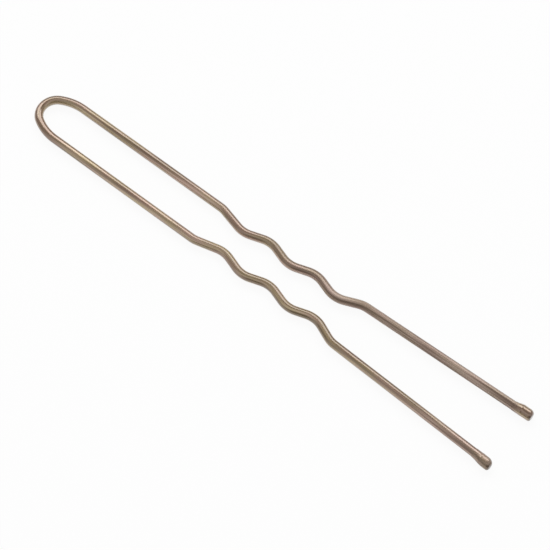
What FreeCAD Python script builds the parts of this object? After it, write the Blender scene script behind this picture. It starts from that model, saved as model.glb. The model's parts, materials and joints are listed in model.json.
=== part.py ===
"""Waved hair pin: one springy steel wire, bent to a bow, crimped on both legs and beaded at both points.

The pin lies flat. +X runs along it from the bow to the points, +Y goes to the left leg and +Z is up.
The origin is under the middle of the pin, at the height of the surface on which the beads rest.
All lengths are millimetres.
"""

import FreeCAD
import Part
import Sketcher

import math
import os

# Driving dimensions: name, value and what it measures.
# Widths and runs are taken on the wire's centre line, between the corners where its straight runs would meet.
SIZES = (
    ("overall_length", "75.0", "outside of the bow to the ends of the beads"),
    ("wire_diameter", "1.15", "round wire with its lacquer"),
    ("bow_width", "5.64", "across the bow, from shank to shank"),
    ("bow_depth", "4.4", "along the pin, from the crown to where the shanks begin"),
    ("shoulder_ease", "0.58", "by how much the crown's radius is under half the bow's width"),
    ("shank_length", "23.05", "straight shank, from the bow to the first crimp corner"),
    ("crimp_lead", "4.05", "along the pin, from the shank to the first inward crimp"),
    ("crimp_pitch", "7.26", "along the pin, from one inward crimp to the next"),
    ("crimp_count", "3", "inward crimps on each leg"),
    ("crimp_exit", "3.4", "along the pin, from the last inward crimp to the point's root"),
    ("crimp_radius", "3.5", "bend radius of every crimp corner"),
    ("waist_width", "3.52", "across the pin, between opposite inward crimps"),
    ("crest_width", "5.92", "across the pin, between opposite outward crests"),
    ("point_root_width", "6.42", "across the pin, between the roots of the two points"),
    ("tip_spread", "8.08", "across the pin, between the ends of the two points"),
    ("tip_length", "2.6", "bead along the wire, from its lip to its end"),
    ("tip_taper", "1.1", "stretch of the bead that swells from its lip to its barrel"),
    ("tip_lip", "0.03", "thickness of the bead at its lip"),
    ("tip_inner_wall", "0.05", "thickness of the barrel towards the other leg"),
    ("tip_outer_wall", "0.26", "thickness of the barrel away from the other leg"),
    ("tip_cap", "0.5", "resin in front of the wire's cut end"),
    ("tip_round", "0.4", "rounding of the bead's end"),
)

# Expressions that more than one feature uses.
WIRE_RADIUS = "Sizes.wire_diameter / 2"
HALF_BOW = "Sizes.bow_width / 2"
CROWN_RADIUS = "Sizes.bow_width / 2 - Sizes.shoulder_ease"
TIP_RADIUS = "(Sizes.wire_diameter + Sizes.tip_inner_wall + Sizes.tip_outer_wall) / 2"
TIP_OFFSET = "(Sizes.tip_outer_wall - Sizes.tip_inner_wall) / 2"
AXIS_HEIGHT = TIP_RADIUS
BOW_END = "(Sizes.wire_diameter - Sizes.overall_length) / 2 + Sizes.bow_depth"
FIRST_CRIMP = "Sizes.shank_length + Sizes.crimp_lead"
POINT_ROOT = f"{FIRST_CRIMP} + (Sizes.crimp_count - 1) * Sizes.crimp_pitch + Sizes.crimp_exit"
POINT_END = "Sizes.overall_length - Sizes.wire_diameter / 2 - Sizes.bow_depth"
POINT_ANGLE = f"atan2((Sizes.tip_spread - Sizes.point_root_width) / 2; {POINT_END} - ({POINT_ROOT}))"

# Sketcher counts the places on an edge up from zero, and a sketch's axes down from minus one.
PLACES = ("edge", "start", "end", "centre")
AXES = ("across_axis", "up_axis")
ORIGIN = ("across_axis", "start")

# Size that a circle or a dimension has until its expression sets it.
PLACEHOLDER = 1.0


def make_sheet(document):
    """Spreadsheet with one named cell for each driving dimension."""
    sheet = document.addObject("Spreadsheet::Sheet", "Sizes")
    for row, (alias, value, meaning) in enumerate(SIZES, start=1):
        sheet.set(f"A{row}", value)
        sheet.setAlias(f"A{row}", alias)
        sheet.set(f"B{row}", meaning)
    document.recompute()
    return sheet


def make_body(document, label):
    """Empty body whose name and label are the node's."""
    body = document.addObject("PartDesign::Body", label)
    body.Label = label
    return body


def make_sketch(body, name, role):
    """Empty sketch on one of the body's own origin planes."""
    sketch = body.newObject("Sketcher::SketchObject", name)
    plane = next(feature for feature in body.Origin.OriginFeatures if feature.Role == role)
    sketch.AttachmentSupport = [(plane, "")]
    sketch.MapMode = "FlatFace"
    return sketch


def sign(side):
    """Sign of a side, across the pin."""
    return 1 if side == "left" else -1


def sketcher_number(part):
    """Sketcher's number for a place or an axis given by name; any other number stays as it is."""
    if part in PLACES:
        return PLACES.index(part)
    if part in AXES:
        return -1 - AXES.index(part)
    return part


def constrain(sketch, kind, *parts):
    """Add a constraint between edges, places on edges and axes, and return its number."""
    return sketch.addConstraint(Sketcher.Constraint(kind, *map(sketcher_number, parts)))


def bind(sketch, expression, kind, *parts):
    """Add a dimension to a sketch and tie it to an expression of the sheet's cells."""
    index = constrain(sketch, kind, *parts, PLACEHOLDER)
    sketch.setExpression(f"Constraints[{index}]", expression)


def bind_out(sketch, expression, kind, place, direction):
    """Tie a place's distance from the origin, in the positive direction or the negative one."""
    ends = (*ORIGIN, *place) if direction > 0 else (*place, *ORIGIN)
    bind(sketch, expression, kind, *ends)


def place_on_pin(body, x_expression, y_expression=None):
    """Set a body at its place along and across the pin, at the height of the wire's centre line."""
    body.setExpression("Placement.Base.x", x_expression)
    if y_expression:
        body.setExpression("Placement.Base.y", y_expression)
    body.setExpression("Placement.Base.z", AXIS_HEIGHT)


def draw_circle(sketch, radius_expression):
    """Circle round the sketch's origin."""
    circle = sketch.addGeometry(Part.Circle(FreeCAD.Vector(), FreeCAD.Vector(0, 0, 1), PLACEHOLDER))
    bind(sketch, radius_expression, "Radius", circle)
    constrain(sketch, "Coincident", circle, "centre", *ORIGIN)


def draw_circle_beside(sketch, radius_expression, offset_expression, side):
    """Circle on the sketch's across axis, at an offset to one side of the origin."""
    circle = sketch.addGeometry(Part.Circle(FreeCAD.Vector(), FreeCAD.Vector(0, 0, 1), PLACEHOLDER))
    bind(sketch, radius_expression, "Radius", circle)
    constrain(sketch, "PointOnObject", circle, "centre", "across_axis")
    bind_out(sketch, offset_expression, "DistanceX", (circle, "centre"), sign(side))


def draw_arc(sketch, centre, radius, first_angle, last_angle):
    """Arc that runs anticlockwise between two angles in radians."""
    circle = Part.Circle(FreeCAD.Vector(*centre, 0), FreeCAD.Vector(0, 0, 1), radius)
    return sketch.addGeometry(Part.ArcOfCircle(circle, first_angle, last_angle))


def draw_corner_point(sketch, x_expression, y_expression, side):
    """Construction point at a place ahead of the origin and out to one side of it."""
    point = sketch.addGeometry(Part.Point(FreeCAD.Vector()), True)
    bind_out(sketch, x_expression, "DistanceX", (point, "start"), 1)
    bind_out(sketch, y_expression, "DistanceY", (point, "start"), sign(side))
    return point


def sweep_wire(document, body, path, sheet, side):
    """Carry the wire's round section along a path that starts square to the origin's upright plane."""
    section = make_sketch(body, f"{body.Label}_section", "YZ_Plane")
    draw_circle_beside(section, WIRE_RADIUS, HALF_BOW, side)
    document.recompute()
    pipe = body.newObject("PartDesign::AdditivePipe", f"{body.Label}_wire")
    pipe.Profile = section
    pipe.Spine = (path, [f"Edge{number}" for number in range(1, len(path.Shape.Edges) + 1)])
    place_on_pin(body, BOW_END)
    document.recompute()
    length = path.Shape.Length
    expected = math.pi * (sheet.wire_diameter / 2) ** 2 * length
    print(f"{body.Label}: {length:.2f} mm of wire, {body.Shape.Volume / expected:.5f} of the expected volume")


def make_bow(document, sheet):
    """Bow: a round crown between two easier shoulders, each tangent to its shank."""
    body = make_body(document, "bow")
    path = make_sketch(body, "bow_path", "XY_Plane")
    half = sheet.bow_width / 2
    crown_radius = half - sheet.shoulder_ease
    crown_x = crown_radius - sheet.bow_depth
    shoulder_radius = (crown_x**2 + half**2 - crown_radius**2) / (2 * sheet.shoulder_ease)
    turn = math.atan2(shoulder_radius - half, crown_x)

    crown = draw_arc(path, (crown_x, 0), crown_radius, turn, 2 * math.pi - turn)
    bind(path, CROWN_RADIUS, "Radius", crown)
    constrain(path, "PointOnObject", crown, "centre", "across_axis")
    bind_out(path, f"Sizes.bow_depth - ({CROWN_RADIUS})", "DistanceX", (crown, "centre"), -1)

    left = draw_arc(path, (0, half - shoulder_radius), shoulder_radius, math.pi / 2, turn)
    right = draw_arc(path, (0, shoulder_radius - half), shoulder_radius, -turn, -math.pi / 2)
    for shoulder, crown_end, shoulder_end, shank_end, side in (
        (left, "start", "end", "start", "left"),
        (right, "end", "start", "end", "right"),
    ):
        constrain(path, "Tangent", crown, crown_end, shoulder, shoulder_end)
        constrain(path, "PointOnObject", shoulder, "centre", "up_axis")
        constrain(path, "PointOnObject", shoulder, shank_end, "up_axis")
        bind_out(path, HALF_BOW, "DistanceY", (shoulder, shank_end), sign(side))
    document.recompute()
    sweep_wire(document, body, path, sheet, "left")
    return body


def leg_corners(crimp_count):
    """Corners of a leg's centre line as expressions: along from the bow's end, and out from the middle."""
    corners = [("Sizes.shank_length", HALF_BOW)]
    for crimp in range(crimp_count):
        inward = f"{FIRST_CRIMP} + {crimp} * Sizes.crimp_pitch"
        corners.append((inward, "Sizes.waist_width / 2"))
        if crimp < crimp_count - 1:
            corners.append((f"{inward} + Sizes.crimp_pitch / 2", "Sizes.crest_width / 2"))
    corners.append((POINT_ROOT, "Sizes.point_root_width / 2"))
    return corners


def draw_bend(sketch, before, corner, after, radius):
    """Arc that rounds a corner; returns it with its ends in the order of travel, and their places."""
    towards_before = (before - corner).normalize()
    towards_after = (after - corner).normalize()
    half_opening = towards_before.getAngle(towards_after) / 2
    centre = corner + (towards_before + towards_after).normalize() * (radius / math.sin(half_opening))
    setback = radius / math.tan(half_opening)
    entry = corner + towards_before * setback
    leave = corner + towards_after * setback
    turns_left = towards_before.cross(towards_after).z < 0
    first, last = (entry, leave) if turns_left else (leave, entry)
    angles = [math.atan2(place.y - centre.y, place.x - centre.x) for place in (first, last)]
    arc = draw_arc(sketch, (centre.x, centre.y), radius, *angles)
    ends = ("start", "end") if turns_left else ("end", "start")
    return arc, ends, entry, leave


def draw_leg_path(document, body, sheet, side):
    """Centre line of a leg: straight runs between the corners, rounded by tangent arcs."""
    path = make_sketch(body, f"{body.Label}_path", "XY_Plane")
    corners = [draw_corner_point(path, x, y, side) for x, y in leg_corners(int(sheet.crimp_count))]
    point_end = draw_corner_point(path, POINT_END, "Sizes.tip_spread / 2", side)
    root = path.addGeometry(Part.Point(FreeCAD.Vector()), True)
    constrain(path, "PointOnObject", root, "start", "up_axis")
    bind_out(path, HALF_BOW, "DistanceY", (root, "start"), sign(side))
    document.recompute()
    places = [path.getPoint(point, sketcher_number("start")) for point in (root, *corners, point_end)]

    wire_end = places[-1] + (places[-2] - places[-1]).normalize() * sheet.tip_cap
    bends = [
        draw_bend(path, *places[number - 1 : number + 2], sheet.crimp_radius)
        for number in range(1, len(places) - 1)
    ]
    starts = [places[0], *[bend[3] for bend in bends]]
    stops = [*[bend[2] for bend in bends], wire_end]
    runs = [path.addGeometry(Part.LineSegment(start, stop)) for start, stop in zip(starts, stops)]

    constrain(path, "Coincident", runs[0], "start", root, "start")
    for corner, (arc, ends, _, _), run, next_run in zip(corners, bends, runs, runs[1:]):
        constrain(path, "Tangent", run, "end", arc, ends[0])
        constrain(path, "Tangent", arc, ends[1], next_run, "start")
        constrain(path, "PointOnObject", corner, "start", run)
        constrain(path, "PointOnObject", corner, "start", next_run)
        bind(path, "Sizes.crimp_radius", "Radius", arc)
    constrain(path, "PointOnObject", point_end, "start", runs[-1])
    bind(path, "Sizes.tip_cap", "Distance", runs[-1], "end", point_end, "start")
    document.recompute()
    return path


def make_leg(document, sheet, side):
    """Leg: straight shank, inward crimps with crests between them, and a straight point that spreads."""
    body = make_body(document, f"{side}_leg")
    path = draw_leg_path(document, body, sheet, side)
    sweep_wire(document, body, path, sheet, side)
    return body


def make_tip(document, sheet, side):
    """Bead: a drop of resin over the wire's end, thicker outwards, with a blind bore that the wire fills."""
    label = f"{side}_tip"
    body = make_body(document, label)
    lip = make_sketch(body, f"{label}_lip", "YZ_Plane")
    lip.setExpression("AttachmentOffset.Base.z", "-Sizes.tip_length")
    draw_circle(lip, f"{WIRE_RADIUS} + Sizes.tip_lip")
    barrel_start = make_sketch(body, f"{label}_barrel_start", "YZ_Plane")
    barrel_start.setExpression("AttachmentOffset.Base.z", "Sizes.tip_taper - Sizes.tip_length")
    draw_circle_beside(barrel_start, TIP_RADIUS, TIP_OFFSET, side)
    bore = make_sketch(body, f"{label}_bore", "YZ_Plane")
    bore.setExpression("AttachmentOffset.Base.z", "-Sizes.tip_length")
    draw_circle(bore, WIRE_RADIUS)
    document.recompute()

    swell = body.newObject("PartDesign::AdditiveLoft", f"{label}_swell")
    swell.Profile = lip
    swell.Sections = [barrel_start]
    swell.Ruled = True
    document.recompute()
    barrel = body.newObject("PartDesign::Pad", f"{label}_barrel")
    barrel.Profile = barrel_start
    barrel.setExpression("Length", "Sizes.tip_length - Sizes.tip_taper")
    document.recompute()

    edge_centres = [edge.CenterOfMass.x for edge in barrel.Shape.Edges]
    end_edge = edge_centres.index(max(edge_centres)) + 1
    end_round = body.newObject("PartDesign::Fillet", f"{label}_round")
    end_round.Base = (barrel, [f"Edge{end_edge}"])
    end_round.setExpression("Radius", "Sizes.tip_round")
    document.recompute()
    solid_volume = body.Shape.Volume

    socket = body.newObject("PartDesign::Pocket", f"{label}_socket")
    socket.Profile = bore
    socket.Reversed = True
    socket.setExpression("Length", "Sizes.tip_length - Sizes.tip_cap")
    place_on_pin(body, "Sizes.overall_length / 2", f"{sign(side)} * Sizes.tip_spread / 2")
    body.Placement.Rotation.Axis = FreeCAD.Vector(0, 0, 1)
    body.setExpression("Placement.Rotation.Angle", f"{sign(side)} * {POINT_ANGLE}")
    document.recompute()
    expected = math.pi * (sheet.wire_diameter / 2) ** 2 * (sheet.tip_length - sheet.tip_cap)
    print(f"{label}: bore takes {(solid_volume - body.Shape.Volume) / expected:.5f} of expected")
    return body


def check_document(document, bodies):
    """Stop if any object failed to compute or any body isn't one valid solid."""
    for item in document.Objects:
        if "Invalid" in item.State or "Error" in item.State:
            raise RuntimeError(f"{item.Label} failed: {item.State}")
    for body in bodies:
        shape = body.Shape
        if shape.isNull() or not shape.isValid() or len(shape.Solids) != 1:
            raise RuntimeError(f"{body.Label} isn't one valid solid")


def main():
    """Build the pin and write one STEP file for each of its bodies."""
    document = FreeCAD.newDocument("WavedHairPin")
    sheet = make_sheet(document)
    bodies = [
        make_bow(document, sheet),
        make_leg(document, sheet, "left"),
        make_leg(document, sheet, "right"),
        make_tip(document, sheet, "left"),
        make_tip(document, sheet, "right"),
    ]
    check_document(document, bodies)
    os.makedirs("parts", exist_ok=True)
    for body in bodies:
        body.Shape.exportStep(f"parts/{body.Label}.step")


main()
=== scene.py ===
"""Waved hair pin of bronze-lacquered wire, lying on a white sweep under soft studio light.

Everything is in metres, in the frame of the solids: +X from the bow to the points, +Y to the left leg, +Z up.
"""

import json
import math

import bpy
import numpy as np
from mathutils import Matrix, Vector


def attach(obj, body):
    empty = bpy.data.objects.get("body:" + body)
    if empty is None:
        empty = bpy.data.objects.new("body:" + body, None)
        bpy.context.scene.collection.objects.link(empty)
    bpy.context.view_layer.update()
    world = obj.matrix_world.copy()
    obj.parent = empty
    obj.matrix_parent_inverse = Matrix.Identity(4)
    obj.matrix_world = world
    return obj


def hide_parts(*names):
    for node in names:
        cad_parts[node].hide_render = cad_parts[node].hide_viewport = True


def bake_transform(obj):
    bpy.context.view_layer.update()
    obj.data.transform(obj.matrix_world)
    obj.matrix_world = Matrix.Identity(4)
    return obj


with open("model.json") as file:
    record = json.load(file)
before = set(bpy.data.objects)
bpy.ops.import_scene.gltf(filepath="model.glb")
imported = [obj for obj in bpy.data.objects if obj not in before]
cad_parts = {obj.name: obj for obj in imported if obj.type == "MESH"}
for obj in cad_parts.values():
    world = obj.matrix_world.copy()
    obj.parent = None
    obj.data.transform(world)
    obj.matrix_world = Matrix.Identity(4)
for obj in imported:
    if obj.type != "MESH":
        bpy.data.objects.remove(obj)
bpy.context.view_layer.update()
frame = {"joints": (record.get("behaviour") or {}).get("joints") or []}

# The wire's section and bends, as the solids have them.
OVERALL_LENGTH = 0.075
WIRE_RADIUS = 0.000575
BOW_DEPTH = 0.0044
SHOULDER_EASE = 0.00058
SHANK_LENGTH = 0.02305
CRIMP_LEAD = 0.00405
CRIMP_PITCH = 0.00726
CRIMP_COUNT = 3
CRIMP_EXIT = 0.0034
CRIMP_RADIUS = 0.0035
HALF_WAIST = 0.00176
HALF_CREST = 0.00296
HALF_POINT_ROOT = 0.00321
HALF_TIP_SPREAD = 0.00404

# The bead on each point.
BEAD_LENGTH = 0.0026
BEAD_LIP = 0.00003
BEAD_INNER_WALL = 0.00005
BEAD_OUTER_WALL = 0.00026
BEAD_CAP = 0.0005
BEAD_RADIUS = WIRE_RADIUS + (BEAD_INNER_WALL + BEAD_OUTER_WALL) / 2
BEAD_OFFSET = (BEAD_OUTER_WALL - BEAD_INNER_WALL) / 2

# The ridge that the resin dried in, before the end of the bead.
RIDGE_PLACE = 0.0015
RIDGE_HEIGHT = 0.000028
RIDGE_HALF_WIDTH = 0.00011

# The two beads dried unlike: the length of the swell, and the depth of the round at the end, on each side.
BEAD_SWELL = {"left": 0.0011, "right": 0.0017}
OUTER_ROUND = {"left": 0.00050, "right": 0.00024}
INNER_ROUND = {"left": 0.00024, "right": 0.00062}
ROUND_LENGTH_SHARE = 1.4

# Places that the frame gives: the left leg's hinge is on the wire's centre line, at the end of the bow.
LEFT_HINGE = next(joint for joint in frame["joints"] if joint["child"] == "left_leg")
BOW_END, HALF_BOW, AXIS_HEIGHT = LEFT_HINGE["pos_m"]
TIP_END = OVERALL_LENGTH - WIRE_RADIUS - BOW_DEPTH

# Fineness of the meshes.
RING_STEP = 0.00012
SAME_PLACE_SHARE = 0.01
SIDES = 48
BEAD_STEPS = 32
FLAT_STEPS = 4

# Where each leg's lacquer starts to be scuffed and where it is scuffed most, before the end of its wire.
SCUFF_START = {"left": 0.045, "right": 0.017}
SCUFF_FULL = {"left": 0.026, "right": 0.006}

# How much each leg is scuffed at most, and how much of that each bead keeps.
SCUFF_MOST = {"left": 1.0, "right": 0.6}
BEAD_SCUFF_SHARE = {"left": 0.0, "right": 0.8}

# The lacquer's noises: how fine they are along, across and up, how detailed, and how deep their bumps are.
LINE_SCALE = (70, 3000, 3000)
LINE_DETAIL = 3.0
LINE_DEPTH = 0.000030
PATCH_SCALE = (230, 1300, 1300)
PATCH_DETAIL = 2.0
PATCH_DEPTH = 0.000060
GRAIN_SCALE = (22000, 22000, 22000)
GRAIN_DETAIL = 2.0
GRAIN_DEPTH = 0.000001
NOISE_ROUGHNESS = 0.55
BUMP_STRENGTH = 0.5

# The lacquer's colours and gloss.
LINE_TONES = ((0.40, (0.190, 0.115, 0.058)), (0.5, (0.332, 0.222, 0.132)), (0.60, (0.478, 0.344, 0.230)))
PATCH_HUES = ((0.40, (1.0, 0.91, 1.0)), (0.5, (0.98, 0.97, 0.96)), (0.60, (0.94, 0.98, 0.79)))
SCUFF_TONES = ((0.40, (0.150, 0.103, 0.085)), (0.5, (0.292, 0.216, 0.183)), (0.60, (0.450, 0.355, 0.315)))
SCUFF_SHARE = 0.65
# Painted shade: the bead's rounded end and end face are darkened towards this dark brown.
END_SHADE_COLOUR = (0.100, 0.062, 0.045, 1)
END_SHADE_SHARE = 0.75
PATCH_SPAN = (0.3, 0.7)
PATCH_ROUGHNESS = (0.16, 0.26)
SCUFF_ROUGHNESS = 0.28
SCUFFED_COAT = 0.12
METAL_SHARE = 0.4
COAT_IOR = 1.72
WIRE_COAT_ROUGHNESS = 0.11
BEAD_COAT_ROUGHNESS = 0.09

# The white sweep under the pin.
SWEEP_REACH = 3.0
SWEEP_COLOUR = (0.97, 0.97, 0.97, 1)
SWEEP_GLOW_SHARE = 0.92

# The photograph's view of the pin.
VIEW_AZIMUTH = math.radians(39.12)
VIEW_ELEVATION = math.radians(62)
VIEW_TARGET = Vector((0.001453, -0.000348, AXIS_HEIGHT))
VIEW_DISTANCE = 0.3203
VIEW_LENS = 170.2
SENSOR_WIDTH = 36
CLIP_NEAR = 0.01
CLIP_FAR = 20

# The softbox beyond the pin, and the room's brightness from the far side to the viewer's.
KEY_ELEVATION = math.radians(48)
KEY_DISTANCE = 0.8
KEY_SIZE = (1.3, 0.42)
KEY_POWER = 4.5
ROOM_SHADES = (
    (0.0, (0.37, 0.37, 0.37)),
    (0.3, (0.90, 0.90, 0.90)),
    (0.45, (0.92, 0.92, 0.92)),
    (0.6, (0.64, 0.64, 0.64)),
    (0.8, (0.22, 0.22, 0.22)),
)


def leg_corners():
    """Corners of the left leg's centre line: along from the bow's end, and out from the middle of the pin."""
    first_crimp = SHANK_LENGTH + CRIMP_LEAD
    count = 2 * CRIMP_COUNT - 1
    crimp_x = first_crimp + np.arange(count) * CRIMP_PITCH / 2
    crimp_y = np.where(np.arange(count) % 2 == 0, HALF_WAIST, HALF_CREST)
    along = np.concatenate([[0, SHANK_LENGTH], crimp_x, [crimp_x[-1] + CRIMP_EXIT, TIP_END]])
    out = np.concatenate([[HALF_BOW, HALF_BOW], crimp_y, [HALF_POINT_ROOT, HALF_TIP_SPREAD]])
    return np.column_stack([along, out])


def wire_bends():
    """Lengths and turns of the half wire, from the crown of the bow to the end of the left point.

    The wire is a chain of straight runs and arcs. Its heading stays the same along a run and changes evenly
    along an arc. So it is described by the distances where runs and arcs meet, with the heading at each.
    """
    crown_radius = HALF_BOW - SHOULDER_EASE
    crown_back = BOW_DEPTH - crown_radius
    shoulder_radius = (crown_back**2 + HALF_BOW**2 - crown_radius**2) / (2 * SHOULDER_EASE)
    shoulder_turn = math.atan2(crown_back, shoulder_radius - HALF_BOW)
    crown_turn = math.pi / 2 - shoulder_turn

    corners = leg_corners()
    runs = np.diff(corners, axis=0)
    headings = np.arctan2(runs[:, 1], runs[:, 0])
    turns = np.abs(np.diff(headings))
    setbacks = CRIMP_RADIUS * np.tan(turns / 2)
    straights = np.hypot(runs[:, 0], runs[:, 1])
    straights[:-1] -= setbacks
    straights[1:] -= setbacks
    straights[-1] -= BEAD_CAP
    arcs = CRIMP_RADIUS * turns

    leg_lengths = np.ravel(np.column_stack([straights, np.append(arcs, 0)]))[:-1]
    bow_lengths = [crown_radius * crown_turn, shoulder_radius * shoulder_turn]
    distances = np.concatenate([[0], np.cumsum(np.concatenate([bow_lengths, leg_lengths]))])
    turned = np.concatenate([[math.pi / 2, shoulder_turn, 0], np.repeat(headings, 2)[1:]])
    return distances, turned


def wire_line():
    """Centre line of the left half wire: distance, place and heading at each ring of its mesh.

    Between two rings the wire is a straight line or an arc, so the step from ring to ring is the chord:
    the distance times sin(half turn) / (half turn), in the direction of the mean heading.
    """
    distances, turned = wire_bends()
    steps = np.arange(0, distances[-1], RING_STEP)
    along = np.unique(np.concatenate([steps, distances]))
    along = along[np.append(True, np.diff(along) > SAME_PLACE_SHARE * RING_STEP)]
    heading = np.interp(along, distances, turned)
    turn = np.diff(heading)
    mean = heading[:-1] + turn / 2
    chord = np.diff(along) * np.sinc(turn / (2 * math.pi))
    x = BOW_END - BOW_DEPTH + np.append(0, np.cumsum(chord * np.cos(mean)))
    y = np.append(0, np.cumsum(chord * np.sin(mean)))
    return along, np.column_stack([x, y]), heading


def tube_faces(rings, sides, flip):
    """Quads between neighbouring rings of a tube, and a fan of triangles from a pole to each end ring.

    The two poles are the vertices after the last ring.
    """
    ring, side = np.meshgrid(np.arange(rings - 1), np.arange(sides), indexing="ij")
    after = (side + 1) % sides
    near, far = ring * sides, (ring + 1) * sides
    quads = np.stack([near + side, near + after, far + after, far + side], axis=-1).reshape(-1, 4)
    around = np.arange(sides)
    following = (around + 1) % sides
    first_pole = rings * sides
    last_ring = (rings - 1) * sides
    first_fan = np.column_stack([np.full(sides, first_pole), following, around])
    last_fan = np.column_stack([np.full(sides, first_pole + 1), last_ring + around, last_ring + following])
    faces = [*quads.tolist(), *first_fan.tolist(), *last_fan.tolist()]
    return [face[::-1] for face in faces] if flip else faces


def new_piece(name, vertices, faces, normals, attributes):
    """Mesh object from whole arrays, with its own shading normals and its attributes on the vertices."""
    mesh = bpy.data.meshes.new(name)
    mesh.from_pydata(vertices.tolist(), [], faces)
    mesh.polygons.foreach_set("use_smooth", np.ones(len(mesh.polygons), bool))
    for key, values in attributes.items():
        kind, slot_name = ("FLOAT_VECTOR", "vector") if values.ndim == 2 else ("FLOAT", "value")
        attribute = mesh.attributes.new(key, kind, "POINT")
        attribute.data.foreach_set(slot_name, values.astype(np.float32).ravel())
    mesh.update()
    mesh.normals_split_custom_set_from_vertices(normals.tolist())
    piece = bpy.data.objects.new(name, mesh)
    bpy.context.scene.collection.objects.link(piece)
    return piece


def scuffed_share(along, side_name):
    """Dullness of the lacquer along a half wire: it rises over the left crimps, and at the right point."""
    distances, _ = wire_bends()
    start = distances[-1] - SCUFF_START[side_name]
    full = distances[-1] - SCUFF_FULL[side_name]
    rise = np.clip((along - start) / (full - start), 0, 1)
    return SCUFF_MOST[side_name] * rise**2 * (3 - 2 * rise)


def half_wire(side_name, side):
    """Half of the wire, from the crown to the point: a circle carried along the centre line.

    A point of the tube is the centre line's place, plus the radius times (cos angle outwards + sin angle up).
    The right half is the left one mirrored across the pin.
    """
    along, place, heading = wire_line()
    rings = len(along)
    angle = np.arange(SIDES) * 2 * math.pi / SIDES
    out = np.column_stack([-np.sin(heading), np.cos(heading), np.zeros(rings)])
    up = np.array([0, 0, 1])
    radial = np.cos(angle)[None, :, None] * out[:, None, :] + np.sin(angle)[None, :, None] * up
    centre = np.column_stack([place, np.full(rings, AXIS_HEIGHT)])
    tube = (centre[:, None, :] + WIRE_RADIUS * radial).reshape(-1, 3)
    vertices = np.vstack([tube, centre[0], centre[-1]])
    tangent = np.column_stack([np.cos(heading), np.sin(heading), np.zeros(rings)])
    normals = np.vstack([radial.reshape(-1, 3), -tangent[0], tangent[-1]])

    straightened = np.stack(
        [
            side * np.repeat(along[:, None], SIDES, axis=1),
            np.repeat(side * np.cos(angle)[None, :], rings, axis=0) * WIRE_RADIUS,
            np.repeat(np.sin(angle)[None, :], rings, axis=0) * WIRE_RADIUS,
        ],
        axis=-1,
    ).reshape(-1, 3)
    ends = np.array([[0, 0, 0], [side * along[-1], 0, 0]])
    dulled = scuffed_share(along, side_name)
    attributes = {
        "straightened": np.vstack([straightened, ends]),
        "dulled": np.concatenate([np.repeat(dulled, SIDES), dulled[[0, -1]]]),
        "end_face": np.zeros(len(vertices)),
    }
    mirror = np.array([1, side, 1])
    faces = tube_faces(rings, SIDES, side < 0)
    return new_piece(f"{side_name}_wire", vertices * mirror, faces, normals * mirror, attributes)


def bead_surface(side_name):
    """Bead along +X with its end at zero: its rings, how far each has swollen, how far it is into the end.

    A ring is a circle whose radius and outward offset grow along a smooth S curve, and stay as they are on
    the barrel. At the end the radius falls along a quarter of an ellipse, whose depth goes from the outer to
    the inner value with the cosine of the angle, and then to nothing across the flat end. A low bell curve
    adds the ridge, which fades to nothing underneath.
    """
    angle = np.arange(SIDES) * 2 * math.pi / SIDES
    outer, inner = OUTER_ROUND[side_name], INNER_ROUND[side_name]
    depth = (outer + inner) / 2 + (outer - inner) / 2 * np.cos(angle)
    reach = ROUND_LENGTH_SHARE * depth
    start_x, barrel_x = -BEAD_LENGTH, BEAD_SWELL[side_name] - BEAD_LENGTH
    lip_radius = WIRE_RADIUS + BEAD_LIP
    share = np.linspace(0, 1, BEAD_STEPS + 1)[:, None]
    smooth = share**2 * (3 - 2 * share)
    turn = share[1::2] * math.pi / 2
    flat = np.linspace(1, 0, FLAT_STEPS + 1)[1:-1, None]
    along = [
        start_x + share * (barrel_x - start_x) + 0 * angle,
        barrel_x + share[1:] * (-reach - barrel_x),
        -reach * (1 - np.sin(turn)),
        0 * flat * angle,
    ]
    radius = [
        lip_radius + (BEAD_RADIUS - lip_radius) * smooth + 0 * angle,
        BEAD_RADIUS + 0 * share[1:] * angle,
        BEAD_RADIUS - depth * (1 - np.cos(turn)),
        (BEAD_RADIUS - depth) * flat,
    ]
    along, radius = np.vstack(along), np.vstack(radius)
    bell = np.exp(-(((along + RIDGE_PLACE) / RIDGE_HALF_WIDTH) ** 2))
    radius += RIDGE_HEIGHT * bell * (1 + np.sin(angle)) / 2
    grown = np.ones((len(along), 1))
    grown[: len(smooth)] = smooth
    # How far into the end each ring is: the share of painted shade on the bead's end.
    rounded = np.ones(len(along))
    rounded[: -len(flat)] = 0
    rounded[-len(flat) - len(turn) : -len(flat)] = np.sin(turn[:, 0])
    across = BEAD_OFFSET * grown + radius * np.cos(angle)
    return np.stack([along, across, radius * np.sin(angle)], axis=-1), grown[:, 0], rounded


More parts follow.
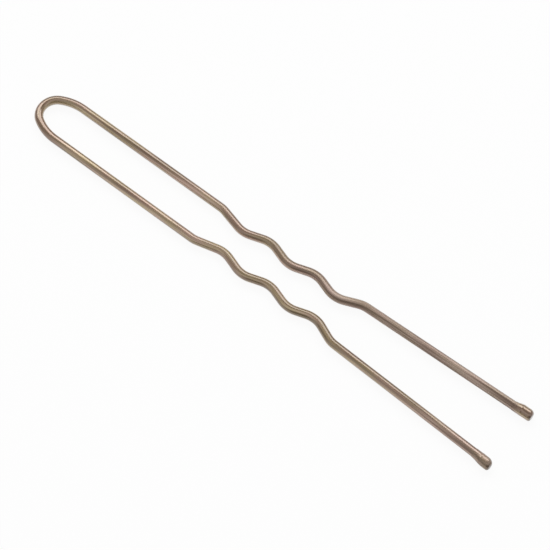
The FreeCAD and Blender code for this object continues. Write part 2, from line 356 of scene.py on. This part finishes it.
def bead(side_name, side):
    """Bead on a point: its surface turned to the point's heading, closed with a pole at each end.

    Its lacquer goes on from the wire's: distances are the wire's, and scuffing fades to the bead's share.
    """
    rings, grown, rounded = bead_surface(side_name)
    round_step = np.roll(rings, -1, axis=1) - np.roll(rings, 1, axis=1)
    normals = np.cross(round_step, np.gradient(rings, axis=0))
    normals /= np.linalg.norm(normals, axis=-1, keepdims=True)
    poles = np.array([rings[0].mean(axis=0), [0, BEAD_OFFSET, 0]])
    local = np.vstack([rings.reshape(-1, 3), poles])
    normals = np.vstack([normals.reshape(-1, 3), [[-1, 0, 0], [1, 0, 0]]])

    corners = leg_corners()
    run = corners[-1] - corners[-2]
    tilt = math.atan2(run[1], run[0])
    turn = np.array([[math.cos(tilt), -math.sin(tilt), 0], [math.sin(tilt), math.cos(tilt), 0], [0, 0, 1]])
    end = np.array([BOW_END + corners[-1][0], corners[-1][1], AXIS_HEIGHT])
    distances, _ = wire_bends()
    end_along = distances[-1] + BEAD_CAP
    kept = 1 - (1 - BEAD_SCUFF_SHARE[side_name]) * grown
    dulled = kept * scuffed_share(end_along + rings[:, :, 0].mean(axis=1), side_name)
    attributes = {
        "straightened": (local + np.array([end_along, 0, 0])) * np.array([side, side, 1]),
        "dulled": np.concatenate([np.repeat(dulled, SIDES), dulled[[0, -1]]]),
        # Mask of the painted shade on the bead's rounded end and end face.
        "end_face": np.concatenate([np.repeat(rounded, SIDES), rounded[[0, -1]]]),
    }
    mirror = np.array([1, side, 1])
    vertices = (local @ turn.T + end) * mirror
    normals = (normals @ turn.T) * mirror
    faces = tube_faces(len(rings), SIDES, side < 0)
    return new_piece(f"{side_name}_bead", vertices, faces, normals, attributes)


def new_material(name):
    """Empty node material, with its Principled shader."""
    material = bpy.data.materials.new(name)
    material.use_nodes = True
    nodes, links = material.node_tree.nodes, material.node_tree.links
    return material, nodes, links, nodes["Principled BSDF"]


def add(nodes, kind, **settings):
    """Add a node and set its properties; a setting whose name is one of its inputs sets that input."""
    node = nodes.new(kind)
    for key, value in settings.items():
        socket = next((socket for socket in node.inputs if socket.name == key and socket.enabled), None)
        if socket:
            socket.default_value = value
        else:
            setattr(node, key, value)
    return node


def plug(links, value, socket):
    """Link another node's output to a socket, or set the socket to a plain value."""
    if isinstance(value, bpy.types.NodeSocket):
        links.new(value, socket)
    else:
        socket.default_value = value


def maths(nodes, links, operation, first, second, clamp=False):
    """Math node over two values, each an output of another node or a plain number."""
    node = add(nodes, "ShaderNodeMath", operation=operation, use_clamp=clamp)
    plug(links, first, node.inputs[0])
    plug(links, second, node.inputs[1])
    return node.outputs["Value"]


def noise(nodes, links, place, scale, detail):
    """Noise over the straightened wire, with its own scale along, across and up."""
    mapping = add(nodes, "ShaderNodeMapping", Scale=scale)
    links.new(place, mapping.inputs["Vector"])
    texture = add(nodes, "ShaderNodeTexNoise", Scale=1.0, Detail=detail, Roughness=NOISE_ROUGHNESS)
    links.new(mapping.outputs["Vector"], texture.inputs["Vector"])
    return texture.outputs["Fac"]


def ramp(nodes, links, value, stops):
    """Colour ramp over a value."""
    node = nodes.new("ShaderNodeValToRGB")
    elements = node.color_ramp.elements
    elements[0].position, elements[0].color = stops[0][0], (*stops[0][1], 1)
    elements[1].position, elements[1].color = stops[-1][0], (*stops[-1][1], 1)
    for position, colour in stops[1:-1]:
        elements.new(position).color = (*colour, 1)
    links.new(value, node.inputs["Fac"])
    return node.outputs["Color"]


def blend_colour(nodes, links, kind, share, first, second):
    """Mix of two colours; the share and each colour are an output of another node or a plain value."""
    node = add(nodes, "ShaderNodeMix", data_type="RGBA", blend_type=kind)
    sockets = [node.inputs["Factor"], *[socket for socket in node.inputs if socket.type == "RGBA"]]
    for socket, value in zip(sockets, (share, first, second)):
        plug(links, value, socket)
    return next(socket for socket in node.outputs if socket.type == "RGBA")


def map_range(nodes, links, value, span, result):
    """Straight-line change of a value's span into another."""
    node = add(nodes, "ShaderNodeMapRange")
    node.inputs["From Min"].default_value, node.inputs["From Max"].default_value = span
    node.inputs["To Min"].default_value, node.inputs["To Max"].default_value = result
    links.new(value, node.inputs["Value"])
    return node.outputs["Result"]


def bumps(nodes, links, shader, layers):
    """Chain of bumps, each a height with its depth in metres, from the coarsest to the finest."""
    below = None
    for height, depth in layers:
        bump = add(nodes, "ShaderNodeBump", Strength=BUMP_STRENGTH, Distance=depth)
        links.new(height, bump.inputs["Height"])
        if below:
            links.new(below, bump.inputs["Normal"])
        below = bump.outputs["Normal"]
    links.new(below, shader.inputs["Normal"])


def lacquer(name, coat_roughness):
    """Bronze-brown lacquer on drawn wire: long die lines, pinkish and olive patches, and a clear gloss.

    Where the attribute dulled rises to 1, the lacquer is scuffed: greyer and less glossy. Its colour is
    darkened where the attribute end_face rises to 1: painted shade on the bead's rounded end and end face.
    """
    material, nodes, links, shader = new_material(name)
    place = add(nodes, "ShaderNodeAttribute", attribute_name="straightened").outputs["Vector"]
    dulled = add(nodes, "ShaderNodeAttribute", attribute_name="dulled").outputs["Fac"]
    end_face = add(nodes, "ShaderNodeAttribute", attribute_name="end_face").outputs["Fac"]
    lines = noise(nodes, links, place, LINE_SCALE, LINE_DETAIL)
    patches = noise(nodes, links, place, PATCH_SCALE, PATCH_DETAIL)
    grain = noise(nodes, links, place, GRAIN_SCALE, GRAIN_DETAIL)

    tone = ramp(nodes, links, lines, LINE_TONES)
    hue = ramp(nodes, links, patches, PATCH_HUES)
    tinted = blend_colour(nodes, links, "MULTIPLY", 1.0, tone, hue)
    scuff = map_range(nodes, links, dulled, (0, 1), (0, SCUFF_SHARE))
    greyed = ramp(nodes, links, lines, SCUFF_TONES)
    scuffed = blend_colour(nodes, links, "MIX", scuff, tinted, greyed)
    # Painted shade: darken the bead's rounded end and end face towards a dark brown.
    end_shade = map_range(nodes, links, end_face, (0, 1), (0, END_SHADE_SHARE))
    colour = blend_colour(nodes, links, "MIX", end_shade, scuffed, END_SHADE_COLOUR)
    links.new(colour, shader.inputs["Base Color"])

    gloss = map_range(nodes, links, patches, PATCH_SPAN, PATCH_ROUGHNESS)
    matt = map_range(nodes, links, dulled, (0, 1), (0, SCUFF_ROUGHNESS))
    links.new(maths(nodes, links, "ADD", gloss, matt), shader.inputs["Roughness"])
    links.new(map_range(nodes, links, dulled, (0, 1), (1, SCUFFED_COAT)), shader.inputs["Coat Weight"])
    shader.inputs["Metallic"].default_value = METAL_SHARE
    shader.inputs["Coat Roughness"].default_value = coat_roughness
    shader.inputs["Coat IOR"].default_value = COAT_IOR
    bumps(nodes, links, shader, ((patches, PATCH_DEPTH), (lines, LINE_DEPTH), (grain, GRAIN_DEPTH)))
    return material


def white_sweep():
    """Pale floor that is white to the camera and in reflections, and keeps part of the pin's shadow."""
    reach = SWEEP_REACH
    corners = [(-reach, -reach, 0), (reach, -reach, 0), (reach, reach, 0), (-reach, reach, 0)]
    mesh = bpy.data.meshes.new("floor")
    mesh.from_pydata(corners, [], [(0, 1, 2, 3)])
    floor = bpy.data.objects.new("floor", mesh)
    bpy.context.scene.collection.objects.link(floor)
    material, nodes, links, shader = new_material("white_floor")
    nodes.remove(shader)
    diffuse = add(nodes, "ShaderNodeBsdfDiffuse", Color=SWEEP_COLOUR)
    glow = nodes.new("ShaderNodeEmission")
    rays = nodes.new("ShaderNodeLightPath").outputs
    seen = maths(nodes, links, "ADD", rays["Is Camera Ray"], rays["Is Glossy Ray"], clamp=True)
    seen = maths(nodes, links, "ADD", seen, rays["Is Transmission Ray"], clamp=True)
    mix = nodes.new("ShaderNodeMixShader")
    links.new(maths(nodes, links, "MULTIPLY", seen, SWEEP_GLOW_SHARE), mix.inputs["Fac"])
    links.new(diffuse.outputs["BSDF"], mix.inputs[1])
    links.new(glow.outputs["Emission"], mix.inputs[2])
    links.new(mix.outputs["Shader"], nodes["Material Output"].inputs["Surface"])
    mesh.materials.append(material)


def view_back(azimuth, elevation):
    """Direction from the pin to a viewer at an azimuth and an elevation; azimuth zero looks along +Y."""
    level = math.cos(elevation)
    return Vector((math.sin(azimuth) * level, -math.cos(azimuth) * level, math.sin(elevation)))


def aim(thing, back):
    """Turn a camera or a lamp to look against a direction."""
    thing.rotation_mode = "QUATERNION"
    thing.rotation_quaternion = (-back).to_track_quat("-Z", "Y")
    bpy.context.scene.collection.objects.link(thing)


def place_camera():
    """Long lens, from the photograph's side of the pin."""
    data = bpy.data.cameras.new("camera")
    data.lens = VIEW_LENS
    data.sensor_width = SENSOR_WIDTH
    data.clip_start = CLIP_NEAR
    data.clip_end = CLIP_FAR
    camera = bpy.data.objects.new("camera", data)
    back = view_back(VIEW_AZIMUTH, VIEW_ELEVATION)
    camera.location = VIEW_TARGET + back * VIEW_DISTANCE
    aim(camera, back)
    bpy.context.scene.camera = camera


def softbox():
    """Wide rectangular light beyond the pin, which faces it."""
    data = bpy.data.lights.new("key", "AREA")
    data.shape = "RECTANGLE"
    data.size, data.size_y = KEY_SIZE
    data.energy = KEY_POWER
    lamp = bpy.data.objects.new("key", data)
    back = view_back(VIEW_AZIMUTH + math.pi, KEY_ELEVATION)
    lamp.location = back * KEY_DISTANCE
    aim(lamp, back)


def room():
    """Room that is pale above and beside the viewer, and dark behind them, overhead and beyond the pin."""
    world = bpy.data.worlds.new("room")
    world.use_nodes = True
    nodes, links = world.node_tree.nodes, world.node_tree.links
    direction = nodes.new("ShaderNodeTexCoord")
    towards = add(nodes, "ShaderNodeVectorMath", operation="DOT_PRODUCT")
    towards.inputs[1].default_value = view_back(VIEW_AZIMUTH, 0)
    links.new(direction.outputs["Generated"], towards.inputs[0])
    colour = ramp(nodes, links, towards.outputs["Value"], ROOM_SHADES)
    links.new(colour, nodes["Background"].inputs["Color"])
    bpy.context.scene.world = world


wire_finish = lacquer("wire_lacquer", WIRE_COAT_ROUGHNESS)
bead_finish = lacquer("bead_lacquer", BEAD_COAT_ROUGHNESS)
for side_name, side in (("left", 1), ("right", -1)):
    wire = half_wire(side_name, side)
    wire.data.materials.append(wire_finish)
    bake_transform(wire)
    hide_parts("bow", f"{side_name}_leg")
    tip = bead(side_name, side)
    tip.data.materials.append(bead_finish)
    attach(tip, f"{side_name}_leg")
    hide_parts(f"{side_name}_tip")

white_sweep()
place_camera()
softbox()
room()
bpy.context.scene.view_settings.view_transform = "Standard"
